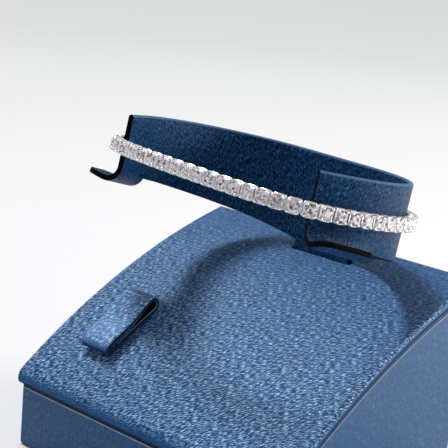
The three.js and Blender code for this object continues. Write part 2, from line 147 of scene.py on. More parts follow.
STONE_DIAMETER = 2.56
STONE_GIRDLE = 0.5
STONE_GIRDLE_HALF = 0.03
STONE_CROWN = 0.4
STONE_PAVILION = 1.1
STONE_TABLE_SHARE = 0.57
STONE_STAR_SHARE = 0.79
STONE_STAR_RISE = 0.56
STONE_LOWER_SHARE = 0.24
STONE_LOWER_DROP = 0.8
STONE_HEART_DROP = 0.1
SHINE_FACET_STEP = 12.9898
SHINE_STONE_STEP = 4.1414
SHINE_SWING = 43758.5453
CLASP_SHORTEST = 6.5
CLASP_OFFSET = -0.6

# Ring tab. Film line, lip and lit depth are on its cut edges
STRAP_LEFT = -BLOCK_WIDTH / 2 + 11.0
STRAP_RIGHT = STRAP_LEFT + 7.7
STRAP_FRONT = 8.8
STRAP_LENGTH = 16.9
STRAP_THICKNESS = 1.0
STRAP_FRONT_RADIUS = 1.5
STRAP_BACK_RADIUS = 1.9
STRAP_SLIT_START = 2.4
STRAP_SLIT_RADIUS = 0.2
STRAP_SAG = 0.55
STRAP_LIFT = 0.32
STRAP_POINTS = 240
STRAP_ROUND = 0.4
STRAP_ROUND_STEPS = 7
STRAP_FILM_LINE = 0.16
STRAP_LIP = 0.04
STRAP_LIT_DEPTH = 0.6
STRAP_CLOTH_START = 40

# Camera, as solved from the photograph
CAMERA_PLACE = (150.53, -188.72, 112.09)
CAMERA_RIGHT = (0.74718, 0.65846, 0.09030)
CAMERA_UP = (-0.22548, 0.12332, 0.96641)
CAMERA_FORWARD = (-0.62521, 0.74244, -0.24061)
CAMERA_LENS = 97.74
SENSOR_WIDTH = 36.0

# Floor and window, in metres
FLOOR_REACH = 6.0
WINDOW_TARGET = (0, 0, 0.04)

FRONT_Y = -BLOCK_DEPTH / 2
ARCH_CENTRE_Y = FRONT_Y + ARCH_TOP_BEHIND_FRONT
ARCH_CENTRE_Z = FRONT_HEIGHT - np.sqrt(ARCH_RADIUS**2 - ARCH_TOP_BEHIND_FRONT**2)


# Meshes

def into_scene(name, data):
    """A new object with the data, linked into the scene."""
    item = bpy.data.objects.new(name, data)
    bpy.context.scene.collection.objects.link(item)
    return item


def read_values(items, key, width=1, kind=np.int32):
    """A value of every item of a mesh as one array, or as rows of the given width."""
    values = np.empty(width * len(items), dtype=kind)
    items.foreach_get(key, values)
    return values.reshape(-1, width) if width > 1 else values


def make_mesh(name, points, faces, materials, face_slots=None, uv=None, smooth=True):
    """A mesh object at the origin from points in millimetres and lists of faces."""
    mesh = bpy.data.meshes.new(name)
    mesh.from_pydata((np.asarray(points) * MM).tolist(), [], [list(map(int, f)) for f in faces])
    for material in materials:
        mesh.materials.append(material)
    if face_slots is not None:
        mesh.polygons.foreach_set("material_index", np.asarray(face_slots, dtype=np.int32))
    mesh.polygons.foreach_set("use_smooth", np.full(len(mesh.polygons), smooth))
    if uv is not None:
        layer = mesh.uv_layers.new(name="cloth_mm")
        corner = read_values(mesh.loops, "vertex_index")
        layer.data.foreach_set("uv", np.asarray(uv)[corner].ravel())
    mesh.update()
    piece = into_scene(name, mesh)
    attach(piece, "root")
    return piece


def grid_faces(rows, columns, wrap_rows=False):
    """Quads over a rows by columns grid of points, each wound row first. The last column
    joins the first, and with wrap_rows the last row does too."""
    quad_rows = rows if wrap_rows else rows - 1
    r, c = [a.ravel() for a in np.indices((quad_rows, columns))]
    r2, c2 = (r + 1) % rows, (c + 1) % columns
    return np.stack(
        [r * columns + c, r * columns + c2, r2 * columns + c2, r2 * columns + c], axis=1)


def closed_faces(rows, columns):
    """Quads round a bar of rows rings, and a face of all points at each of its ends."""
    ring = np.arange(columns)
    return list(grid_faces(rows, columns)) + [ring[::-1], ring + (rows - 1) * columns]


def wrap_cloth(piece):
    """Cloth coordinates of a covered block, as if the cover was unfolded: X and Y on top,
    and on each wall the way down from the top edge counts on as more X or more Y. A face
    takes the wall that its normal looks to most."""
    mesh = piece.data
    points = read_values(mesh.vertices, "co", 3, np.float32) / MM
    normal = read_values(mesh.polygons, "normal", 3, np.float32)
    looks = np.repeat(normal, read_values(mesh.polygons, "loop_total"), axis=0)
    x, y, z = points[read_values(mesh.loops, "vertex_index")].T
    wall = np.abs(looks).argmax(axis=1)
    down = arch_height(y, 0) - z
    uv = np.stack([x, y], axis=1)
    uv[:, 0] += np.where(wall == 0, np.sign(looks[:, 0]) * down, 0)
    uv[:, 1] += np.where(wall == 1, np.sign(looks[:, 1]) * down, 0)
    layer = mesh.uv_layers.new(name="cloth_mm")
    layer.data.foreach_set("uv", uv.astype(np.float32).ravel())


def sharp_by_angle(piece, degrees):
    """Marks the edges that turn more than the angle as sharp."""
    piece.data.set_sharp_from_angle(angle=degrees * DEG)


def smooth_curve(points, closed, per_span=160):
    """A smooth curve through all points: between two points it is the cubic whose end slopes
    come from the four points round it, weighed by the square roots of their spacing."""
    p = np.asarray(points, dtype=float)
    if closed:
        p0, p1, p2, p3 = np.roll(p, 1, 0), p, np.roll(p, -1, 0), np.roll(p, -2, 0)
    else:
        ends = np.vstack([2 * p[0] - p[1], p, 2 * p[-1] - p[-2]])
        p0, p1, p2, p3 = ends[:-3], ends[1:-2], ends[2:-1], ends[3:]
    pairs = ((p0, p1), (p1, p2), (p2, p3))
    d0, d1, d2 = [np.sqrt(np.linalg.norm(b - a, axis=1))[:, None] for a, b in pairs]
    m1 = ((p1 - p0) / d0 - (p2 - p0) / (d0 + d1) + (p2 - p1) / d1) * d1
    m2 = ((p2 - p1) / d1 - (p3 - p1) / (d1 + d2) + (p3 - p2) / d2) * d1
    t = np.linspace(0, 1, per_span, endpoint=False)[None, :, None]
    a, b, c, d = [x[:, None] for x in (p1, p2, m1, m2)]
    curve = (2 * t**3 - 3 * t**2 + 1) * a + (t**3 - 2 * t**2 + t) * c
    curve += (3 * t**2 - 2 * t**3) * b + (t**3 - t**2) * d
    last = p[:1] if closed else p[-1:]
    return np.vstack([curve.reshape(-1, p.shape[1]), last])


def arc_lengths(curve):
    """Length along a curve up to each of its points: the running sum of its steps."""
    steps = np.linalg.norm(np.diff(curve, axis=0), axis=1)
    return np.concatenate([[0], np.cumsum(steps)])


def at_lengths(curve, lengths, wanted):
    """Points of a curve at the wanted lengths, on straight lines between its own points."""
    columns = [np.interp(wanted, lengths, curve[:, k]) for k in range(curve.shape[1])]
    return np.stack(columns, axis=-1)


# Block

def arch_height(y, under):
    """Height of the circle that lies a given depth inside the arched surface."""
    return ARCH_CENTRE_Z + np.sqrt((ARCH_RADIUS - under) ** 2 - (y - ARCH_CENTRE_Y) ** 2)


def on_arch(start_y, distance, height):
    """Y and Z of a point a distance along the arch and a height over it."""
    angle = np.arcsin((start_y - ARCH_CENTRE_Y) / ARCH_RADIUS) + distance / ARCH_RADIUS
    radius = ARCH_RADIUS + height
    return ARCH_CENTRE_Y + radius * np.sin(angle), ARCH_CENTRE_Z + radius * np.cos(angle)


def rounded_box_rows(low, high, radius, steps, count):
    """Stations from low to high with their end insets: quarter circles, then even steps."""
    turn = np.linspace(0, 90, steps) * DEG
    ends = low + radius * (1 - np.cos(turn))
    insets = radius * (1 - np.sin(turn))
    middle = np.linspace(low + radius, high - radius, count)[1:-1]
    stations = np.concatenate([ends, middle, (low + high) - ends[::-1]])
    inset = np.concatenate([insets, np.zeros(len(middle)), insets[::-1]])
    return stations, inset


def rounded_rectangle(steps):
    """Unit corner directions and centre signs of a rectangle with round corners."""
    turns, signs = [], []
    for k, sign in enumerate(((1, 1), (-1, 1), (-1, -1), (1, -1))):
        a = np.linspace(k * 90, (k + 1) * 90, steps) * DEG
        turns.append(np.stack([np.cos(a), np.sin(a)], axis=1))
        signs.append(np.tile(sign, (steps, 1)))
    return np.vstack(turns), np.vstack(signs)


def slab(half_width, low_y, high_y, radius, side_radius, height_at, thickness):
    """A slab with round edges: a rectangle in X and depth whose corners are quarter
    ellipses, carried along Y and drawn in by a quarter circle at both ends. height_at
    turns Y and depth into Z."""
    y, inset = rounded_box_rows(low_y, high_y, radius, SLAB_ROUND_STEPS, SLAB_ROWS)
    turn, sign = rounded_rectangle(SLAB_ROUND_STEPS)
    share = 1 - inset[:, None] / radius
    x = sign[:, 0] * (half_width - side_radius) + turn[:, 0] * side_radius * share
    half_depth = thickness(y)[:, None] / 2
    depth = half_depth - sign[:, 1] * (half_depth - radius) - turn[:, 1] * radius * share
    z = height_at(y[:, None], depth)
    points = np.stack([x, np.broadcast_to(y[:, None], x.shape), z], axis=-1)
    return points.reshape(-1, 3), [face[::-1] for face in closed_faces(*x.shape)]


# Holder

def holder_basis():
    """Leaning frame of holder and bracelet, as three unit rows and an origin."""
    up = np.array([
        np.sin(HOLDER_LEAN_SIDE),
        np.sin(HOLDER_LEAN_BACK) * np.cos(HOLDER_LEAN_SIDE),
        np.cos(HOLDER_LEAN_BACK) * np.cos(HOLDER_LEAN_SIDE),
    ])
    across = np.array([1.0, 0, 0]) - up * up[0]
    across /= np.linalg.norm(across)
    along = np.cross(up, across)
    basis = np.stack([across, along, up])
    foot = np.array([SEAT_ACROSS, STRIP_HALF_PLAN[0, 1], -BACK_HEIGHT]) @ basis
    y = FRONT_Y + HOLDER_BEHIND_FRONT
    origin = np.array([0, y, arch_height(y + foot[1], 0) + SEAM_GAP - foot[2]])
    return basis, origin


HOLDER_BASIS, HOLDER_ORIGIN = holder_basis()


def in_holder(points):
    """Points of the leaning frame in the scene's frame: each times its rows, plus its origin."""
    return points @ HOLDER_BASIS + HOLDER_ORIGIN


def strip_plan():
    """The strip's plan from its left end round the back to its right end."""
    left = STRIP_HALF_PLAN[::-1] * (-1, 1)
    ends = [[(tab["across"], tab["along"])] for tab in (LEFT_TAB, RIGHT_TAB)]
    return np.vstack([ends[0], left, STRIP_HALF_PLAN[1:], ends[1]])


def bracelet_plan():
    """The bracelet's plan from the middle of the back, to the right and round."""
    left = BRACELET_HALF_PLAN * (-1, 1)
    left[LEFT_END_ROW] = LEFT_END
    return np.vstack([BRACELET_HALF_PLAN, left[1:-1][::-1]])


def side_stops(half, leg_reach):
    """Distances from the strip's end at which its section is drawn, up to the leg: close
    together round the tab's two corners, then even."""
    turn = np.linspace(0, 90, CORNER_STOPS) * DEG
    near = TAB_CORNER * (1 - np.cos(turn))
    far = TAB_LENGTH - TAB_CORNER + TAB_CORNER * np.sin(turn)
    field = np.linspace(TAB_LENGTH + FIELD_START, half - leg_reach - LEG_SHOULDER, FIELD_STOPS)
    return np.unique(np.round(np.concatenate([near, far, field, [half - leg_reach]]), 3))


def holder_sections():
    """Stations along the strip: a row of values for each, with the length of its section,
    how much it is bent, and its tab's bend. The lower edge tapers evenly from the back to
    the tab, and the tab is a tongue with two round corners."""
    curve = smooth_curve(strip_plan(), False)
    lengths = arc_lengths(curve)
    back = lengths[(len(lengths) - 1) // 2]
    halves = (back, lengths[-1] - back)
    reaches = (LEG_HALF_WIDTH - LEG_OFFSET, LEG_HALF_WIDTH + LEG_OFFSET)
    stops = [side_stops(half, leg_reach) for half, leg_reach in zip(halves, reaches)]
    s = np.concatenate([stops[0], [back], lengths[-1] - stops[1][::-1]])
    end = np.concatenate([stops[0], [back], stops[1][::-1]])
    half = np.repeat(halves, [len(stops[0]), len(stops[1]) + 1])
    on_left = s < back
    height, turn, reach = [
        np.where(on_left, LEFT_TAB[key], RIGHT_TAB[key]) for key in ("bend_height", "turn", "reach")
    ]
    height = height + TAB_BEND_DROP * np.clip(end / TAB_LENGTH, 0, 1)
    share = np.clip((half - end) / (half - TAB_LENGTH), 0, 1)
    plain = BACK_HEIGHT + (JOIN_HEIGHT - BACK_HEIGHT) * share
    middle = TAB_LENGTH / 2
    into = np.clip((np.abs(end - middle) - (middle - TAB_CORNER)) / TAB_CORNER, 0, 1)
    foot = np.where(end < middle, TAB_CORNER_HEIGHT, plain)
    tongue = foot + (height + TAB_BEND_RADIUS * turn + reach - foot) * np.sqrt(1 - into**2)
    in_leg = half - end <= np.where(on_left, *reaches) + TINY
    length = np.where(end <= TAB_LENGTH, tongue, plain + LEG_DEPTH * in_leg)
    bend = 1 - np.clip((end - TAB_LENGTH) / TAB_BEND_FADE, 0, 1)
    place = at_lengths(curve, lengths, s)
    step = 0.05
    heading = at_lengths(curve, lengths, s + step) - at_lengths(curve, lengths, s - step)
    heading /= np.linalg.norm(heading, axis=1)[:, None]
    outward = np.stack([-heading[:, 1], heading[:, 0]], axis=1)
    return s, length, bend, height, turn, place, outward


def strip_line(q, bend, height, turn):
    """Centre line of the strip's section at developed distance q: straight down, then an
    arc that turns outward, then straight on. Returns outward, up and the turned angle."""
    bent = bend > TINY
    radius = TAB_BEND_RADIUS / np.maximum(bend, TINY)
    beyond = np.maximum(q - height, 0)
    angle = np.where(bent, np.minimum(beyond / radius, turn), 0)
    rest = beyond - np.where(bent, angle * radius, 0)
    arc_out = np.where(bent, radius * (1 - np.cos(angle)), 0)
    arc_down = np.where(bent, radius * np.sin(angle), 0)
    out = arc_out + rest * np.sin(angle) - STRIP_THICKNESS / 2
    up = -np.minimum(q, height) - arc_down - rest * np.cos(angle)
    return out, up, angle


def make_holder(covering, cut_edge):
    """The strip: its section is a ring round the bent centre line, half a thickness to each
    side, with a folded round rim on top and a square cut edge below, carried along the
    plan curve."""
    s, length, bend, height, turn, place, outward = holder_sections()
    half = STRIP_THICKNESS / 2
    upper = half + np.linspace(0, 1, UPPER_STEPS) * (height - half)[:, None]
    share = np.linspace(0, 1, LOWER_STEPS)[1:]
    lower = np.maximum(length - CUT_ROUND - height, LOWER_SHORTEST)[:, None]
    q_side = np.concatenate([upper, height[:, None] + share * lower], axis=1)
    folds = bend[:, None], height[:, None], turn[:, None]

    def layer(q, offset):
        out, up, angle = strip_line(q, *folds)
        return np.stack([out + offset * np.cos(angle), up + offset * np.sin(angle)], axis=-1)

    outer, inner = layer(q_side, half), layer(q_side, -half)
    tips = [layer(length[:, None], offset) for offset in (half - CUT_ROUND, CUT_ROUND - half)]
    rim = np.linspace(180, 0, RIM_STEPS)[1:-1] * DEG
    rim_ring = np.stack([half * np.cos(rim) - half, half * np.sin(rim) - half], axis=1)
    rim_ring = np.broadcast_to(rim_ring, (len(s),) + rim_ring.shape)
    section = np.concatenate([rim_ring, outer, *tips, inner[:, ::-1]], axis=1)
    rows, columns = section.shape[:2]
    xy = place[:, None] + outward[:, None] * section[..., :1]
    points = in_holder(np.concatenate([xy, section[..., 1:]], axis=-1).reshape(-1, 3))
    side_count = q_side.shape[1]
    rim_count = rim_ring.shape[1]
    v = np.concatenate([
        np.zeros((rows, rim_count)), q_side, length[:, None], length[:, None], q_side[:, ::-1],
    ], axis=1)
    uv = np.stack([np.broadcast_to(s[:, None], v.shape), v], axis=-1).reshape(-1, 2)
    column = np.tile(np.arange(columns), rows - 1)
    first_cut = rim_count + side_count - 1
    slots = ((column >= first_cut) & (column <= first_cut + 2)).astype(int)
    slots = np.concatenate([slots, [1, 1]])
    piece = make_mesh(
        "holder_strip", points, closed_faces(rows, columns), [covering, cut_edge], slots, uv)
    sharp_by_angle(piece, 50)
    return piece


# Ring tab

def strap_loop(start, start_radius, end, end_radius):
    """Closed outline of a loop that tapers from a large round end to a small one: two
    circles and the lines that touch both. Between them the upper layer sinks by STRAP_SAG
    times the squared sine, so that the loop opens at the back. Returns distance along and
    height."""
    span = STRAP_LENGTH - STRAP_BACK_RADIUS - STRAP_FRONT_RADIUS
    rise = (STRAP_BACK_RADIUS - STRAP_FRONT_RADIUS) / span

    def middle(along):
        return STRAP_FRONT_RADIUS + rise * (along - STRAP_FRONT_RADIUS)

    def arc(centre, radius, angles):
        along = centre + radius * np.cos(angles)
        return np.stack([along, middle(centre) + radius * np.sin(angles)], axis=1)

    lean = np.arcsin((end_radius - start_radius) / (end - start))
    back_turn = np.linspace(-np.pi / 2, np.pi / 2 + lean, STRAP_POINTS // 2)
    front_turn = np.linspace(np.pi / 2 + lean, 3 * np.pi / 2, STRAP_POINTS // 3)
    back = arc(end, end_radius, back_turn)
    corners = np.vstack([back, arc(start, start_radius, front_turn), back[:1]])
    lengths = arc_lengths(corners)
    wanted = np.linspace(0, lengths[-1], STRAP_POINTS, endpoint=False)
    outline = at_lengths(corners, lengths, wanted)
    share = np.clip((outline[:, 0] - STRAP_FRONT_RADIUS) / span, 0, 1)
    upper = outline[:, 1] > middle(outline[:, 0])
    outline[:, 1] -= STRAP_SAG * upper * np.sin(np.pi * share) ** 2
    return outline


def make_ring_tab(covering, cut_edge, film_rim_and_glint, hollow):
    """The strap: an outer and an inner outline joined by its two cut edges, carried from
    its left side to its right one and laid on the arch. On a cut edge a thin pale line runs
    round the hollow: partly the film's pale rim, partly a painted highlight where the edge
    catches the light. The hollow gets a painted shade, near black. Cloth coordinates are X
    and Y, moved so that the grain differs from the panel's."""
    back = STRAP_LENGTH - STRAP_BACK_RADIUS
    outer = strap_loop(STRAP_FRONT_RADIUS, STRAP_FRONT_RADIUS, back, STRAP_BACK_RADIUS)
    inner = strap_loop(
        STRAP_SLIT_START, STRAP_SLIT_RADIUS, back, STRAP_BACK_RADIUS - STRAP_THICKNESS)
    ahead = np.roll(outer, -1, 0) - np.roll(outer, 1, 0)
    normal = np.stack([ahead[:, 1], -ahead[:, 0]], axis=1)
    normal /= np.linalg.norm(normal, axis=1)[:, None]
    turn = np.linspace(0, 90, STRAP_ROUND_STEPS) * DEG
    rounded = [outer - normal * STRAP_ROUND * (1 - np.cos(t)) for t in turn]
    inward = [STRAP_ROUND * (1 - np.sin(t)) for t in turn]
    left_edge = [(line, STRAP_LEFT + k) for line, k in zip(rounded[::-1], inward[::-1])]
    right_edge = [(line, STRAP_RIGHT - k) for line, k in zip(rounded, inward)]
    toward = (outer - inner) / np.linalg.norm(outer - inner, axis=1)[:, None]
    film = inner + toward * STRAP_FILM_LINE
    columns = left_edge + right_edge + [
        (film, STRAP_RIGHT), (inner, STRAP_RIGHT - STRAP_LIP),
        (inner, STRAP_RIGHT - STRAP_LIT_DEPTH), (inner, STRAP_LEFT + STRAP_LIT_DEPTH),
        (inner, STRAP_LEFT + STRAP_LIP), (film, STRAP_LEFT),
    ]
    slots = [0] * (len(left_edge) + len(right_edge) - 1) + [1, 2, 3, 3, 3, 2, 1]
    sheets = []
    for outline, x in columns:
        y, z = on_arch(FRONT_Y + STRAP_FRONT, outline[:, 0], outline[:, 1] + STRAP_LIFT)
        sheets.append(np.stack([np.full(STRAP_POINTS, x), y, z], axis=1))
    points = np.stack(sheets, axis=1)
    rows, cols = points.shape[:2]
    uv = points[..., :2] + (0, STRAP_CLOTH_START)
    piece = make_mesh(
        "ring_tab_strap", points.reshape(-1, 3), grid_faces(rows, cols, wrap_rows=True),
        [covering, cut_edge, film_rim_and_glint, hollow], np.tile(np.array(slots), rows),
        uv.reshape(-1, 2))
    sharp_by_angle(piece, 40)
    return piece


# Bracelet

def bracelet_places():
    """Ends of the links along the tilted closed loop, one LINK_PITCH apart: as many links as
    fit, and the clasp takes up the rest."""
    flat = smooth_curve(bracelet_plan(), True)
    up = -BRACELET_DROP + BRACELET_TILT_ACROSS * flat[:, 0] + BRACELET_TILT_ALONG * flat[:, 1]
    curve = np.column_stack([flat, up])
    lengths = arc_lengths(flat)
    total = lengths[-1]
    count = int((total - CLASP_SHORTEST) // LINK_PITCH)
    half_clasp = (total - count * LINK_PITCH) / 2
    edges = CLASP_OFFSET + half_clasp + LINK_PITCH * np.arange(count + 1)
    return at_lengths(curve, lengths, edges % total)


def frames_between(start, end):
    """For each pair of ends: rows heading, outward and rise, and the middle."""
    heading = end - start
    heading /= np.linalg.norm(heading, axis=1)[:, None]
    outward = -np.cross(heading, np.array([0, 0, 1.0]))
    outward /= np.linalg.norm(outward, axis=1)[:, None]
    rise = np.cross(heading, outward)
    return np.stack([heading, outward, rise], axis=1), (start + end) / 2


def repeat(points, faces, rows, middles):
    """One small mesh set down at every frame: each point times the frame's rows, plus its
    middle."""
    placed = np.einsum("pk,nkj->npj", points, rows) + middles[:, None]
    starts = len(points) * np.arange(len(rows))
    placed_faces = [np.asarray(face) + start for start in starts for face in faces]
    return in_holder(placed.reshape(-1, 3)), placed_faces


def tube(path, radii, sides):
    """A round bar: circles of the given radii square to the path, closed at both ends. They
    start from a direction that no path runs along."""
    path = np.asarray(path, dtype=float)
    heading = np.gradient(path, axis=0)
    heading /= np.linalg.norm(heading, axis=1)[:, None]
    side = np.cross(heading, TUBE_START)
    side /= np.linalg.norm(side, axis=1)[:, None]
    rise = np.cross(heading, side)
    a = np.linspace(0, 2 * np.pi, sides, endpoint=False)[None, :, None]
    circle = np.cos(a) * side[:, None] + np.sin(a) * rise[:, None]
    rings = path[:, None] + np.asarray(radii)[:, None, None] * circle
    return rings.reshape(-1, 3), [face[::-1] for face in closed_faces(len(path), sides)]


def square_rail(middle_y, bar_in, bar_deep, corner):
    """A square ring: the rounded square path of a setting in X and Z, with an upright bar
    whose section is an octagon, bar_in wide and bar_deep along Y."""
    turn, sign = rounded_rectangle(3)
    section = np.array([
        (-1, -0.6), (-0.6, -1), (0.6, -1), (1, -0.6), (1, 0.6), (0.6, 1), (-0.6, 1), (-1, 0.6),
    ])
    cx = sign[:, 0] * (SETTING_LENGTH / 2 - corner)
    cz = sign[:, 1] * (SETTING_HEIGHT / 2 - corner)
    reach = corner - bar_in / 2 + section[:, 0] * bar_in / 2
    x = cx[:, None] + turn[:, :1] * reach[None, :]
    z = cz[:, None] + turn[:, 1:] * reach[None, :]
    y = np.broadcast_to(middle_y + section[:, 1] * bar_deep / 2, x.shape)
    points = np.stack([x, y, z], axis=-1).reshape(-1, 3)
    return points, list(grid_faces(len(turn), len(section), wrap_rows=True))


def joined(meshes):
    """Several small meshes as one list of points and faces."""
    points, faces, start = [], [], 0
    for p, f in meshes:
        points.append(p)
        faces += [np.asarray(face) + start for face in f]
        start += len(p)
    return np.vstack(points), faces


def claw(sign_x, sign_z):
    """A claw: a bar from the floor rail that leans in and swells to a bead over the stone.
    Its five stations are the foot, the neck, the bead's widest place, its shoulder and its
    tip, each with a radius and how far it leans in."""
    x = sign_x * (SETTING_LENGTH / 2 - CLAW_RADIUS)
    z = sign_z * (SETTING_HEIGHT / 2 - CLAW_RADIUS)
    top = CLAW_BEAD_HEIGHT
    y = np.array([SETTING_FLOOR + 0.05, top - 0.42, top - 0.05, top + 0.17, top + 0.27])
    radii = (0.25, 0.24, 0.33, 0.25, 0.07)
    lean = np.array([0.0, 0.0, 0.04, 0.05, 0.05])
    path = np.stack([x - sign_x * lean, y, z - sign_z * lean], axis=1)
    return tube(path, radii, CLAW_SIDES)


def setting():
    """One setting: a square floor rail, a square collar round the stone and four claws."""
    floor_rail = square_rail(HINGE_DEPTH, RAIL_BAR, RAIL_BAR, RAIL_CORNER)
    collar = square_rail(STONE_GIRDLE - COLLAR_DROP, COLLAR_BAR, COLLAR_DEEP, COLLAR_CORNER)
    claws = [claw(a, b) for a in (-1, 1) for b in (-1, 1)]
    return joined([floor_rail, collar, *claws])


def hinge():
    """The hinge between two settings: a round bar along the chain, flattened to an
    ellipse, with its pin across. Both are blunt cones at the ends."""
    reach = LINK_GAP / 2 + HINGE_OVERLAP
    bar_x = np.array([-reach, -reach + END_ROUND, reach - END_ROUND, reach])
    bar = np.stack([bar_x, np.full(4, HINGE_DEPTH), np.zeros(4)], axis=1)
    bar_radii = (HINGE_END, HINGE_RADIUS, HINGE_RADIUS, HINGE_END)
    tongue, tongue_faces = tube(bar, bar_radii, HINGE_SIDES)
    tongue[:, 1] = HINGE_DEPTH + (tongue[:, 1] - HINGE_DEPTH) * HINGE_FLATNESS
    pin_z = np.array([-PIN_HALF, END_ROUND - PIN_HALF, PIN_HALF - END_ROUND, PIN_HALF])
    a = np.linspace(0, 2 * np.pi, PIN_SIDES, endpoint=False)
    radii = np.array([PIN_END, PIN_RADIUS, PIN_RADIUS, PIN_END])[:, None]
    rings = np.stack([
        radii * np.cos(a), HINGE_DEPTH + radii * np.sin(a),
        np.broadcast_to(pin_z[:, None], (4, PIN_SIDES)),
    ], axis=-1)
    pin = rings.reshape(-1, 3), closed_faces(4, PIN_SIDES)
    return joined([(tongue, tongue_faces), pin])


def brilliant():
    """A round brilliant: table, stars, kites and upper girdle facets over a 16-sided girdle,
    then lower girdle facets and mains down to the culet. Y points out of the table."""
    radius = STONE_DIAMETER / 2
    eighth = np.arange(8) * 45 * DEG
    between = eighth + 22.5 * DEG
    sixteenth = np.arange(16) * 22.5 * DEG

    def ring(angles, r, y):
        return np.stack([r * np.cos(angles), np.full(len(angles), y), r * np.sin(angles)], axis=1)

    star_height = STONE_GIRDLE + STONE_CROWN * STONE_STAR_RISE
    lower_height = STONE_GIRDLE - STONE_PAVILION * STONE_LOWER_DROP
    points = np.vstack([
        ring(eighth, radius * STONE_TABLE_SHARE, STONE_GIRDLE + STONE_CROWN),
        ring(between, radius * STONE_STAR_SHARE, star_height),
        ring(sixteenth, radius, STONE_GIRDLE + STONE_GIRDLE_HALF),
        ring(sixteenth, radius, STONE_GIRDLE - STONE_GIRDLE_HALF),
        ring(between, radius * STONE_LOWER_SHARE, lower_height),
        [(0, STONE_GIRDLE - STONE_PAVILION, 0)],
    ])
    # Number of the first point of each ring, then point, next and one before in a ring
    table, star, girdle, keel, lower, culet = 0, 8, 16, 32, 48, 56
    k = np.arange(8)
    n = (k + 1) % 8
    b = (k - 1) % 8
    g = 2 * k
    g2 = (g + 2) % 16
    j = np.arange(16)
    j2 = (j + 1) % 16
    # Stars, kites, upper girdle facets, the girdle, lower girdle facets, mains
    groups = [
        (table + k, table + n, star + k),
        (table + k, star + k, girdle + g, star + b),
        (star + k, girdle + g + 1, girdle + g),
        (star + k, girdle + g2, girdle + g + 1),
        (girdle + j, girdle + j2, keel + j2, keel + j),
        (lower + k, keel + g, keel + g + 1),
        (lower + k, keel + g + 1, keel + g2),
        (np.full(8, culet), lower + b, keel + g, lower + k),
    ]
    faces = [k[::-1]]
    for corners in groups:
        faces += list(np.stack(corners, axis=1))
    return points, faces


def outward_faces(points, faces, centre):
    """The same faces, each wound so that it looks away from the centre of its solid."""
    wound = []
    for face in faces:
        p = points[face]
        normal = np.cross(p[1] - p[0], p[2] - p[0])
        wound.append(face if normal @ (p.mean(axis=0) - centre) > 0 else face[::-1])
    return wound


def make_bracelet(setting_metal, zirconia):
    """The chain: a setting and a stone at every link and a hinge at every joint. Each facet
    gets a shine from 0 to 1, the part after the point of a large sine of its number, so
    that neighbours differ."""
    ends = bracelet_places()
    rows, middles = frames_between(ends[:-1], ends[1:])
    toward = ends[2:] - ends[:-2]
    toward /= np.linalg.norm(toward, axis=1)[:, None]
    toward *= HINGE_SIGHT
    hinge_rows, hinge_middles = frames_between(ends[1:-1] - toward, ends[1:-1] + toward)
    points, faces = joined([
        repeat(*setting(), rows, middles), repeat(*hinge(), hinge_rows, hinge_middles),
    ])
    chain = make_mesh("bracelet_settings", points, faces, [setting_metal])
    sharp_by_angle(chain, 42)
    stone_points, stone_faces = brilliant()
    heart = np.array([0, STONE_GIRDLE - STONE_HEART_DROP, 0])
    stone_faces = outward_faces(stone_points, stone_faces, heart)
    points, faces = repeat(stone_points, stone_faces, rows, middles)
    stones = make_mesh("bracelet_stones", points, faces, [zirconia], smooth=False)
    facet = np.arange(len(faces))
    wave = np.sin(facet * SHINE_FACET_STEP + (facet // len(stone_faces)) * SHINE_STONE_STEP)
    shine = np.modf(wave * SHINE_SWING)[0] % 1.0
    attribute = stones.data.attributes.new("facet_shine", "FLOAT", "FACE")
    attribute.data.foreach_set("value", shine)
    return chain, stones


# Materials

def linear(hex_colour):
    """sRGB hex to linear red, green, blue and full alpha."""
    value = np.array([int(hex_colour[k:k + 2], 16) for k in (1, 3, 5)]) / 255
    value = np.where(value <= 0.04045, value / 12.92, ((value + 0.055) / 1.055) ** 2.4)
    return (*value.tolist(), 1.0)


def add(tree, kind, settings=None, links=None):
    """A shader node of the kind, with inputs or properties set and its inputs linked. A link
    names an output, or a node whose first output is meant."""
    node = tree.nodes.new("ShaderNode" + kind)
    for key, value in (settings or {}).items():
        if isinstance(key, str) and hasattr(node, key):
            setattr(node, key, value)
        else:
            node.inputs[key].default_value = value
    for key, source in (links or {}).items():
        source = source.outputs[0] if isinstance(source, bpy.types.Node) else source
        tree.links.new(source, node.inputs[key])
    return node


def new_material(name):
    """An empty node material and its node tree."""
    material = bpy.data.materials.new(name)
    material.use_nodes = True
    material.node_tree.nodes.clear()
    return material, material.node_tree


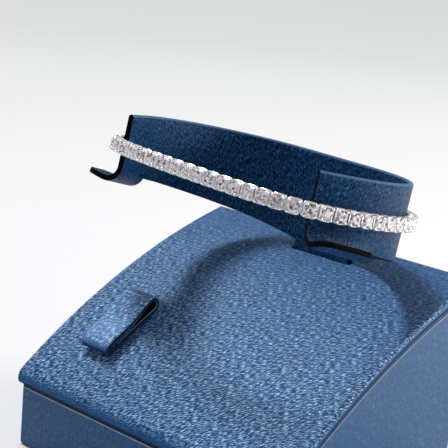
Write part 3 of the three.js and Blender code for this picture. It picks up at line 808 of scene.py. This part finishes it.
def brushed_leatherette(name, base, light, dark, grain_angle, roughness, stroke, relief,
                        gloss_level, rim=None, glints=False, seam=None):
    """Brushed-grain leatherette: PU film on cloth, embossed with short slanting strokes.
    The pale flecks are a painted highlight where the strokes catch the light, and the dark
    valleys a painted shade: they are the high and the low part of one noise, turned by the
    grain angle and stretched to a stroke's length and width in mm. Real strokes are about
    0.05 mm wide, too fine to show, so they are drawn two to four times as coarse. Along a
    rim the film gets a painted highlight, a paler band where the rim catches the light: rim
    is the width of that band in mm, its colour, and how strong it is.

    With glints the flecks are a painted highlight: they show on faces that look up, most of
    all where they lean to the front, where the key light's glint falls, and on the rolled
    side edges. Faces that look down, and the lower part of the rolled side edges, get a
    painted shade. seam is the colour of a painted highlight, a pale line about 1 mm below a
    seam where the box's round top edge catches the light, with a painted shadow over it, a
    dark strip where the seam's gap is in shade."""
    length, width = stroke
    material, tree = new_material(name)
    uv = add(tree, "UVMap", {"uv_map": "cloth_mm"})
    turned = add(tree, "Mapping", {"Rotation": (0, 0, -grain_angle * DEG)}, {"Vector": uv})
    drawn = add(tree, "Mapping", {"Scale": (1 / length, 1 / width, 1)}, {"Vector": turned})
    strokes = add(tree, "TexNoise",
                  {"noise_dimensions": "2D", "Scale": 1.0, "Detail": 2.5}, {"Vector": drawn})
    finer = add(tree, "Mapping", {"Scale": (2.2 / length, 2.4 / width, 1)}, {"Vector": turned})
    threads = add(tree, "TexNoise", {"noise_dimensions": "2D", "Scale": 1.0},
                  {"Vector": finer})
    # Cloudy patches of about 6 mm, where the film took less dye
    patches = add(tree, "TexNoise", {"noise_dimensions": "2D", "Scale": 0.16}, {"Vector": uv})
    # Pale flecks: a painted highlight where the strokes catch the light
    fleck = add(tree, "MapRange", {"From Min": 0.54, "From Max": 0.63}, {"Value": strokes})
    # Painted highlight: the flecks show only where the key light's glint falls, on faces that look
    # up and to the front, and on the rolled side edges
    if glints:
        faces = add(tree, "NewGeometry")
        looks = add(tree, "SeparateXYZ", None, {"Vector": faces.outputs["Normal"]})
        look_x, look_y, look_z = looks.outputs
        upward = add(tree, "MapRange", {"From Min": 0.2, "From Max": 0.72}, {"Value": look_z})
        forward = add(tree, "MapRange", {"From Min": -0.26, "From Max": -0.5, "To Min": 0.28},
                      {"Value": look_y})
        lit = add(tree, "Math", {"operation": "MULTIPLY"}, {0: upward, 1: forward})
        aside = add(tree, "Math", {"operation": "ABSOLUTE"}, {0: look_x})
        rolled_side = add(tree, "MapRange", {"From Min": 0.12, "From Max": 0.4}, {"Value": aside})
        bead = add(tree, "MapRange", {"From Min": 0.1, "From Max": 0.35}, {"Value": look_z})
        bead_glint = add(tree, "Math", {"operation": "MULTIPLY"}, {0: rolled_side, 1: bead})
        either = add(tree, "Math", {"operation": "MAXIMUM"}, {0: lit, 1: bead_glint})
        fleck = add(tree, "Math", {"operation": "MULTIPLY"}, {0: either, 1: fleck})
    # Dark valleys: a painted shade between the strokes
    valley = add(tree, "MapRange", {"From Min": 0.48, "From Max": 0.36}, {"Value": strokes})
    patch = add(tree, "MapRange", {"From Min": 0.35, "From Max": 0.7, "To Max": 0.4},
                {"Value": patches})
    ground = add(tree, "Mix", {"data_type": "RGBA", 6: linear(base), 7: linear(dark)},
                 {"Factor": patch})
    deep = add(tree, "Mix", {"data_type": "RGBA", 7: linear(dark)},
               {"Factor": valley, 6: ground.outputs[2]})
    pale = add(tree, "Mix", {"data_type": "RGBA", 7: linear(light)},
               {"Factor": fleck, 6: deep.outputs[2]})
    colour = pale.outputs[2]
    # Painted shade: faces that look down, and the lower part of the rolled side edges, are darkened
    # as if in shade
    if glints:
        downward = add(tree, "MapRange", {"From Min": 0.2, "From Max": -0.4}, {"Value": look_z})
        low_side_shade = add(tree, "MapRange", {"From Min": 0.25, "From Max": -0.05, "To Max": 0.9},
                     {"Value": look_z})
        side_under_shade = add(tree, "Math", {"operation": "MULTIPLY"}, {0: low_side_shade, 1: rolled_side})
        under_shade = add(tree, "Math", {"operation": "MAXIMUM"},
                           {0: downward, 1: side_under_shade})
        under_shade_mix = add(tree, "Mix", {"data_type": "RGBA", 7: linear("#0B325C")},
                     {"Factor": under_shade, 6: colour})
        colour = under_shade_mix.outputs[2]
    # Painted shadow and highlight at the seam: a dark strip where the gap is in shade, over a pale
    # line where the box's top edge catches the light
    if seam:
        # below_seam is the distance below the seam in mm
        below = add(tree, "Attribute", {"attribute_name": "below_seam"}).outputs["Fac"]
        line = add(tree, "MapRange", {"From Min": 1.05, "From Max": 0.8}, {"Value": below})
        sparkle = add(tree, "Math", {"operation": "MULTIPLY"}, {0: line, 1: threads})
        seam_glint = add(tree, "Mix", {"data_type": "RGBA", 7: linear(seam)},
                        {"Factor": sparkle, 6: colour})
        shade = add(tree, "MapRange", {"From Min": 0.78, "From Max": 0.68}, {"Value": below})
        seam_shadow = add(tree, "Mix", {"data_type": "RGBA", 7: linear("#010A1C")},
                         {"Factor": shade, 6: seam_glint.outputs[2]})
        colour = seam_shadow.outputs[2]
    # Painted highlight: a paler band along the rim, where it catches the light
    if rim:
        # On a strip the second cloth coordinate is the distance below its rim in mm
        rim_width, rim_colour, rim_strength = rim
        below = add(tree, "SeparateXYZ", None, {"Vector": uv})
        ragged = add(tree, "Math", {"operation": "MULTIPLY_ADD", 1: -1.6 * rim_width},
                     {0: strokes, 2: below.outputs[1]})
        near = add(tree, "MapRange",
                   {"From Min": 0.2 * rim_width, "From Max": -0.8 * rim_width,
                    "To Max": rim_strength},
                   {"Value": ragged})
        rim_glint = add(tree, "Mix", {"data_type": "RGBA", 7: linear(rim_colour)},
                   {"Factor": near, 6: colour})
        colour = rim_glint.outputs[2]
    height = add(tree, "Math", {"operation": "MULTIPLY_ADD", 1: 0.35}, {0: threads, 2: strokes})
    bump = add(tree, "Bump", {"Strength": relief, "Distance": 0.12 * MM}, {"Height": height})
    sheen = add(tree, "MapRange",
                {"From Min": 0.35, "From Max": 0.7,
                 "To Min": roughness + 0.1, "To Max": roughness - 0.08},
                {"Value": strokes})
    if glints:
        sheen = add(tree, "Math", {"operation": "MAXIMUM"}, {0: sheen, 1: under_shade})
    shader = add(tree, "BsdfPrincipled",
                 {"Specular IOR Level": gloss_level, "Specular Tint": linear("#9FC3F2")},
                 {"Base Color": colour, "Roughness": sheen, "Normal": bump})
    add(tree, "OutputMaterial", None, {"Surface": shader})
    return material


def raw_edge_material():
    """Raw cut edge of laminated board and foil, knife cut: matt black with a few torn
    fibres. Real fibres are about 0.03 mm thick, too fine to show, so they are drawn as
    noise of 2.6 per mm, as coarse as they need to show."""
    material, tree = new_material("raw_cut_board_edge")
    place = add(tree, "TexCoord").outputs["Object"]
    fibres = add(tree, "TexNoise", {"Scale": 2.6 / MM, "Detail": 3.0, "Roughness": 0.6},
                 {"Vector": place})
    torn = add(tree, "MapRange", {"From Min": 0.64, "From Max": 0.8}, {"Value": fibres})
    colour = add(tree, "Mix",
                 {"data_type": "RGBA", 6: linear("#020306"), 7: linear("#2C323A")},
                 {"Factor": torn})
    relief = add(tree, "Bump", {"Strength": 0.6, "Distance": 0.15 * MM}, {"Height": fibres})
    shader = add(tree, "BsdfPrincipled", {"Roughness": 0.85, "Specular IOR Level": 0.08},
                 {"Base Color": colour.outputs[2], "Normal": relief})
    add(tree, "OutputMaterial", None, {"Surface": shader})
    return material


def plated_metal(name, colour, roughness):
    """Rhodium-plated silver, cast and tumble polished: a bright cool mirror with hair lines,
    drawn as noise of 1.5 per mm because real ones are too fine to show. A share of plain
    white under the mirror is a painted reflection of the bright room, so that the metal
    shows white."""
    material, tree = new_material(name)
    place = add(tree, "TexCoord").outputs["Object"]
    wear = add(tree, "TexNoise", {"Scale": 1.5 / MM}, {"Vector": place})
    gloss = add(tree, "MapRange",
                {"From Min": 0.3, "From Max": 0.7,
                 "To Min": roughness * 0.6, "To Max": roughness * 1.5},
                {"Value": wear})
    relief = add(tree, "Bump", {"Strength": 0.12, "Distance": 0.03 * MM}, {"Height": wear})
    # Metallic 0.6: the plain white share is a painted reflection of the bright room
    shader = add(tree, "BsdfPrincipled", {"Base Color": linear(colour), "Metallic": 0.6},
                 {"Roughness": gloss, "Normal": relief})
    add(tree, "OutputMaterial", None, {"Surface": shader})
    return material


def stone_material():
    """Cubic zirconia, facet cut and polished: clear and strongly bending. Each facet throws
    back another bit of the room, and the back facets are seen broken up through the table,
    in cells of about half a millimetre. facet_shine, from 0 to 1, and the cells set what is
    dark, rosy, lilac or white."""
    material, tree = new_material("cut_cubic_zirconia")
    shine = add(tree, "Attribute", {"attribute_name": "facet_shine"})
    place = add(tree, "TexCoord").outputs["Object"]
    broken = add(tree, "TexVoronoi", {"Scale": 1.9 / MM}, {"Vector": place})
    cell = add(tree, "SeparateColor", None, {"Color": broken.outputs["Color"]})
    both = add(tree, "Math", {"operation": "ADD"}, {0: shine.outputs["Fac"], 1: cell})
    tone = add(tree, "Math", {"operation": "FRACT"}, {0: both})
    ramp = add(tree, "ValToRGB", None, {"Fac": tone})
    tones = ramp.color_ramp
    tones.interpolation = "CONSTANT"
    stops = [
        (0.0, "#5A5266"), (0.13, "#A28FAA"), (0.27, "#D6C2C8"), (0.44, "#EAE0EC"),
        (0.6, "#FAF5F7"), (0.8, "#FFFFFF"),
    ]
    while len(tones.elements) < len(stops):
        tones.elements.new(0.5)
    for element, (start, shade) in zip(tones.elements, stops):
        element.position = start
        element.color = linear(shade)
    shader = add(tree, "BsdfPrincipled",
                 {"Roughness": 0.05, "IOR": 2.16, "Transmission Weight": 0.1},
                 {"Base Color": ramp})
    add(tree, "OutputMaterial", None, {"Surface": shader})
    return material


def cloth_material(name, thread, gap):
    """Woven backing of the strap, matt, with three threads to the millimetre, in a thread and a
    gap colour. In the strap's hollow they are a painted shade, and on the film's line partly a
    painted highlight.
    """
    material, tree = new_material(name)
    place = add(tree, "TexCoord").outputs["Object"]
    weave = add(tree, "TexNoise", {"Scale": 3.0 / MM}, {"Vector": place})
    colour = add(tree, "Mix", {"data_type": "RGBA", 6: linear(gap), 7: linear(thread)},
                 {"Factor": weave})
    shader = add(tree, "BsdfPrincipled", {"Roughness": 0.8, "Specular IOR Level": 0.2},
                 {"Base Color": colour.outputs[2]})
    add(tree, "OutputMaterial", None, {"Surface": shader})
    return material


# Pieces

# The panel's flecks are painted glints, and its faces that look down get a painted shade
panel_cover = brushed_leatherette(
    "brushed_leatherette_panel", "#1C5A92", "#BADAFD", "#07315F", grain_angle=38,
    roughness=0.37, stroke=(1.0, 0.155), relief=1.0, gloss_level=0.34, glints=True)
# The box's flecks are drawn greyer, partly a painted reflection of the pale room on its walls; seam
# is a painted highlight under a painted shadow
base_cover = brushed_leatherette(
    "brushed_leatherette_box", "#1A4A78", "#3F6894", "#133C68", grain_angle=128,
    roughness=0.45, stroke=(1.0, 0.13), relief=0.5, gloss_level=0.6, seam="#C4DAF2")
# The holder's film is drawn darker than the panel's: partly its own navy, partly a painted shade.
# Its rim band is a painted highlight
holder_cover = brushed_leatherette(
    "brushed_leatherette_holder", "#02234A", "#356C9C", "#000F2C", grain_angle=52,
    roughness=0.45, stroke=(1.0, 0.1), relief=0.6, gloss_level=0.14,
    rim=(0.36, "#5B85AA", 0.62))
# The strap is the panel's film drawn lighter: the lighter colour is a painted light on its top, and
# its flecks are painted glints
strap_cover = brushed_leatherette(
    "brushed_leatherette_strap", "#4A7CB8", "#C2DCFA", "#336699", grain_angle=38,
    roughness=0.4, stroke=(1.0, 0.18), relief=0.6, gloss_level=0.45, glints=True)
raw_edge = raw_edge_material()
strap_edge = cloth_material("strap_turned_edge", "#0F2C4D", "#071C36")
# Near black: a painted shade inside the strap's hollow
strap_hollow_shade = cloth_material("strap_backing_in_shadow", "#0A0D16", "#05070C")
# Pale line on the strap's cut edges: partly the film's pale rim, partly a painted highlight
strap_film_rim_and_glint = cloth_material("strap_cut_film_rim_and_glint", "#9FB6D2", "#5F7A9C")
metal = plated_metal("rhodium_plated_silver", "#FDFBFC", 0.2)
clasp_metal = plated_metal("rhodium_plated_clasp", "#EDECEE", 0.2)
stone_look = stone_material()


def cut_slot(piece):
    """Cuts the leg's slot out of a block piece with a box a clearance larger than the leg."""
    half = np.array([
        LEG_HALF_WIDTH + LEG_SHOULDER + SLOT_CLEARANCE,
        STRIP_THICKNESS / 2 + SLOT_CLEARANCE,
        LEG_DEPTH + SLOT_CLEARANCE,
    ])
    signs = np.array([(x, y, z) for x in (-1, 1) for y in (-1, 1) for z in (-1, 1)])
    middle = np.array([LEG_OFFSET, STRIP_HALF_PLAN[0, 1] - STRIP_THICKNESS / 2, -BACK_HEIGHT])
    corners = in_holder(signs * half + middle) * MM
    mesh = bpy.data.meshes.new("slot_cutter")
    sides = [(0, 1, 3, 2), (4, 6, 7, 5), (0, 4, 5, 1), (2, 3, 7, 6), (0, 2, 6, 4), (1, 5, 7, 3)]
    mesh.from_pydata(corners.tolist(), [], sides)
    cutter = into_scene("slot_cutter", mesh)
    modifier = piece.modifiers.new("slot", "BOOLEAN")
    modifier.operation = "DIFFERENCE"
    modifier.object = cutter
    modifier.solver = "EXACT"
    bpy.context.view_layer.update()
    shown = piece.evaluated_get(bpy.context.evaluated_depsgraph_get())
    result = bpy.data.meshes.new_from_object(shown)
    piece.modifiers.clear()
    piece.data = result
    bpy.data.objects.remove(cutter)


def make_block():
    """The two covers. The panel lies between the arch and the circle a panel's thickness
    inside it. The box reaches from the floor up to the circle a seam's gap below that.
    below_seam is how far each point of the box lies under that circle in mm."""
    points, faces = slab(
        BLOCK_WIDTH / 2, FRONT_Y, FRONT_Y + BLOCK_DEPTH, PANEL_ROUND, PANEL_SIDE_ROUND,
        arch_height, lambda y: np.full_like(y, PANEL_THICKNESS),
    )
    panel = make_mesh("top_panel_cover", points, faces, [panel_cover])
    cut_slot(panel)
    under = PANEL_THICKNESS + SEAM_GAP
    points, faces = slab(
        BLOCK_WIDTH / 2 - BOX_INSET, FRONT_Y + BOX_INSET, FRONT_Y + BLOCK_DEPTH - BOX_INSET,
        BOX_ROUND, BOX_SIDE_ROUND,
        lambda y, depth: arch_height(y, under) - depth,
        lambda y: arch_height(y, under),
    )
    box = make_mesh("box_cover", points, faces, [base_cover])
    cut_slot(box)
    corners = read_values(box.data.vertices, "co", 3, np.float32).astype(float) / MM
    below = arch_height(corners[:, 1], under) - corners[:, 2]
    on_side = np.abs(corners[:, 0]) > BLOCK_WIDTH / 2 - BOX_INSET - SIDE_REACH
    below -= np.where(on_side, SIDE_SEAM_DROP, 0)
    box.data.attributes.new("below_seam", "FLOAT", "POINT").data.foreach_set("value", below)
    for piece in (panel, box):
        wrap_cloth(piece)
        sharp_by_angle(piece, 40)
    return panel, box


panel, box = make_block()
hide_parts("block_top")
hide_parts("block_base")

holder = make_holder(holder_cover, raw_edge)
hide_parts("bracelet_holder")

strap = make_ring_tab(strap_cover, strap_edge, strap_film_rim_and_glint, strap_hollow_shade)
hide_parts("ring_tab")

chain, stones = make_bracelet(metal, stone_look)
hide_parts("bracelet_chain")
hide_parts("bracelet_chain")

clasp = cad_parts["box_clasp"]
clasp.data.materials.clear()
clasp.data.materials.append(clasp_metal)


# Stage, light and camera

def make_floor():
    """A square of pale paper, FLOOR_REACH to each side, that darkens evenly with the
    distance from the object's middle, from 0.2 to 0.95 m: a painted shade for the light's
    fall-off."""
    mesh = bpy.data.meshes.new("floor")
    signs = np.array([(-1, -1, 0), (1, -1, 0), (1, 1, 0), (-1, 1, 0)])
    mesh.from_pydata((signs * FLOOR_REACH).tolist(), [], [(0, 1, 2, 3)])
    floor = into_scene("floor", mesh)
    material, tree = new_material("pale_floor_paper")
    place = add(tree, "TexCoord").outputs["Object"]
    far_off = add(tree, "VectorMath", {"operation": "LENGTH"}, {0: place})
    fall = add(tree, "MapRange", {"From Min": 0.2, "From Max": 0.95},
               {"Value": far_off.outputs["Value"]})
    shade = add(tree, "Mix", {"data_type": "RGBA", 6: linear("#E9E9EB"), 7: linear("#D6D8D7")},
                {"Factor": fall})
    shader = add(tree, "BsdfPrincipled", {"Roughness": 0.9, "Specular IOR Level": 0.1},
                 {"Base Color": shade.outputs[2]})
    add(tree, "OutputMaterial", None, {"Surface": shader})
    mesh.materials.append(material)


def aim(lamp, toward_light):
    """Turns a lamp so that it shines from the given direction."""
    lamp.rotation_euler = Vector(toward_light).to_track_quat("Z", "Y").to_euler()


def make_sun(name, toward_light, spread, power):
    """A far white light whose rays spread by an angle in degrees, which softens shadows."""
    data = bpy.data.lights.new(name, "SUN")
    data.angle = spread * DEG
    data.energy = power
    aim(into_scene(name, data), toward_light)


def make_window(name, place, size, power, colour):
    """A square soft box that looks at WINDOW_TARGET."""
    data = bpy.data.lights.new(name, "AREA")
    data.size = size
    data.energy = power
    data.color = colour
    lamp = into_scene(name, data)
    lamp.location = place
    aim(lamp, Vector(place) - Vector(WINDOW_TARGET))


def make_world():
    """Even pale light from all round, and colours shown as they are."""
    world = bpy.data.worlds.new("studio")
    world.use_nodes = True
    tree = world.node_tree
    tree.nodes.clear()
    room = add(tree, "Background", {"Color": linear("#F3F4F8"), "Strength": 0.29})
    add(tree, "OutputWorld", None, {"Surface": room})
    bpy.context.scene.world = world
    bpy.context.scene.view_settings.view_transform = "Standard"


def make_camera():
    """The solved camera. Its matrix has right, up, backward and the place as columns."""
    data = bpy.data.cameras.new("camera")
    data.lens = CAMERA_LENS
    data.sensor_width = SENSOR_WIDTH
    data.clip_start = 0.01
    data.clip_end = 50
    camera = into_scene("camera", data)
    columns = [CAMERA_RIGHT, CAMERA_UP, -np.array(CAMERA_FORWARD), np.array(CAMERA_PLACE) * MM]
    rows = np.vstack([np.stack(columns, axis=1), (0, 0, 0, 1)])
    camera.matrix_world = Matrix(rows.tolist())
    bpy.context.scene.camera = camera


make_floor()
make_world()
make_sun("key_light", (-0.45, 0.0, 0.89), spread=12, power=2.4)
make_sun("back_light", (-0.3, 0.4, 0.87), spread=24, power=0.35)
make_window("right_window", (0.66, 0.72, 0.16), size=0.5, power=11, colour=(1, 0.96, 0.9))
make_camera()
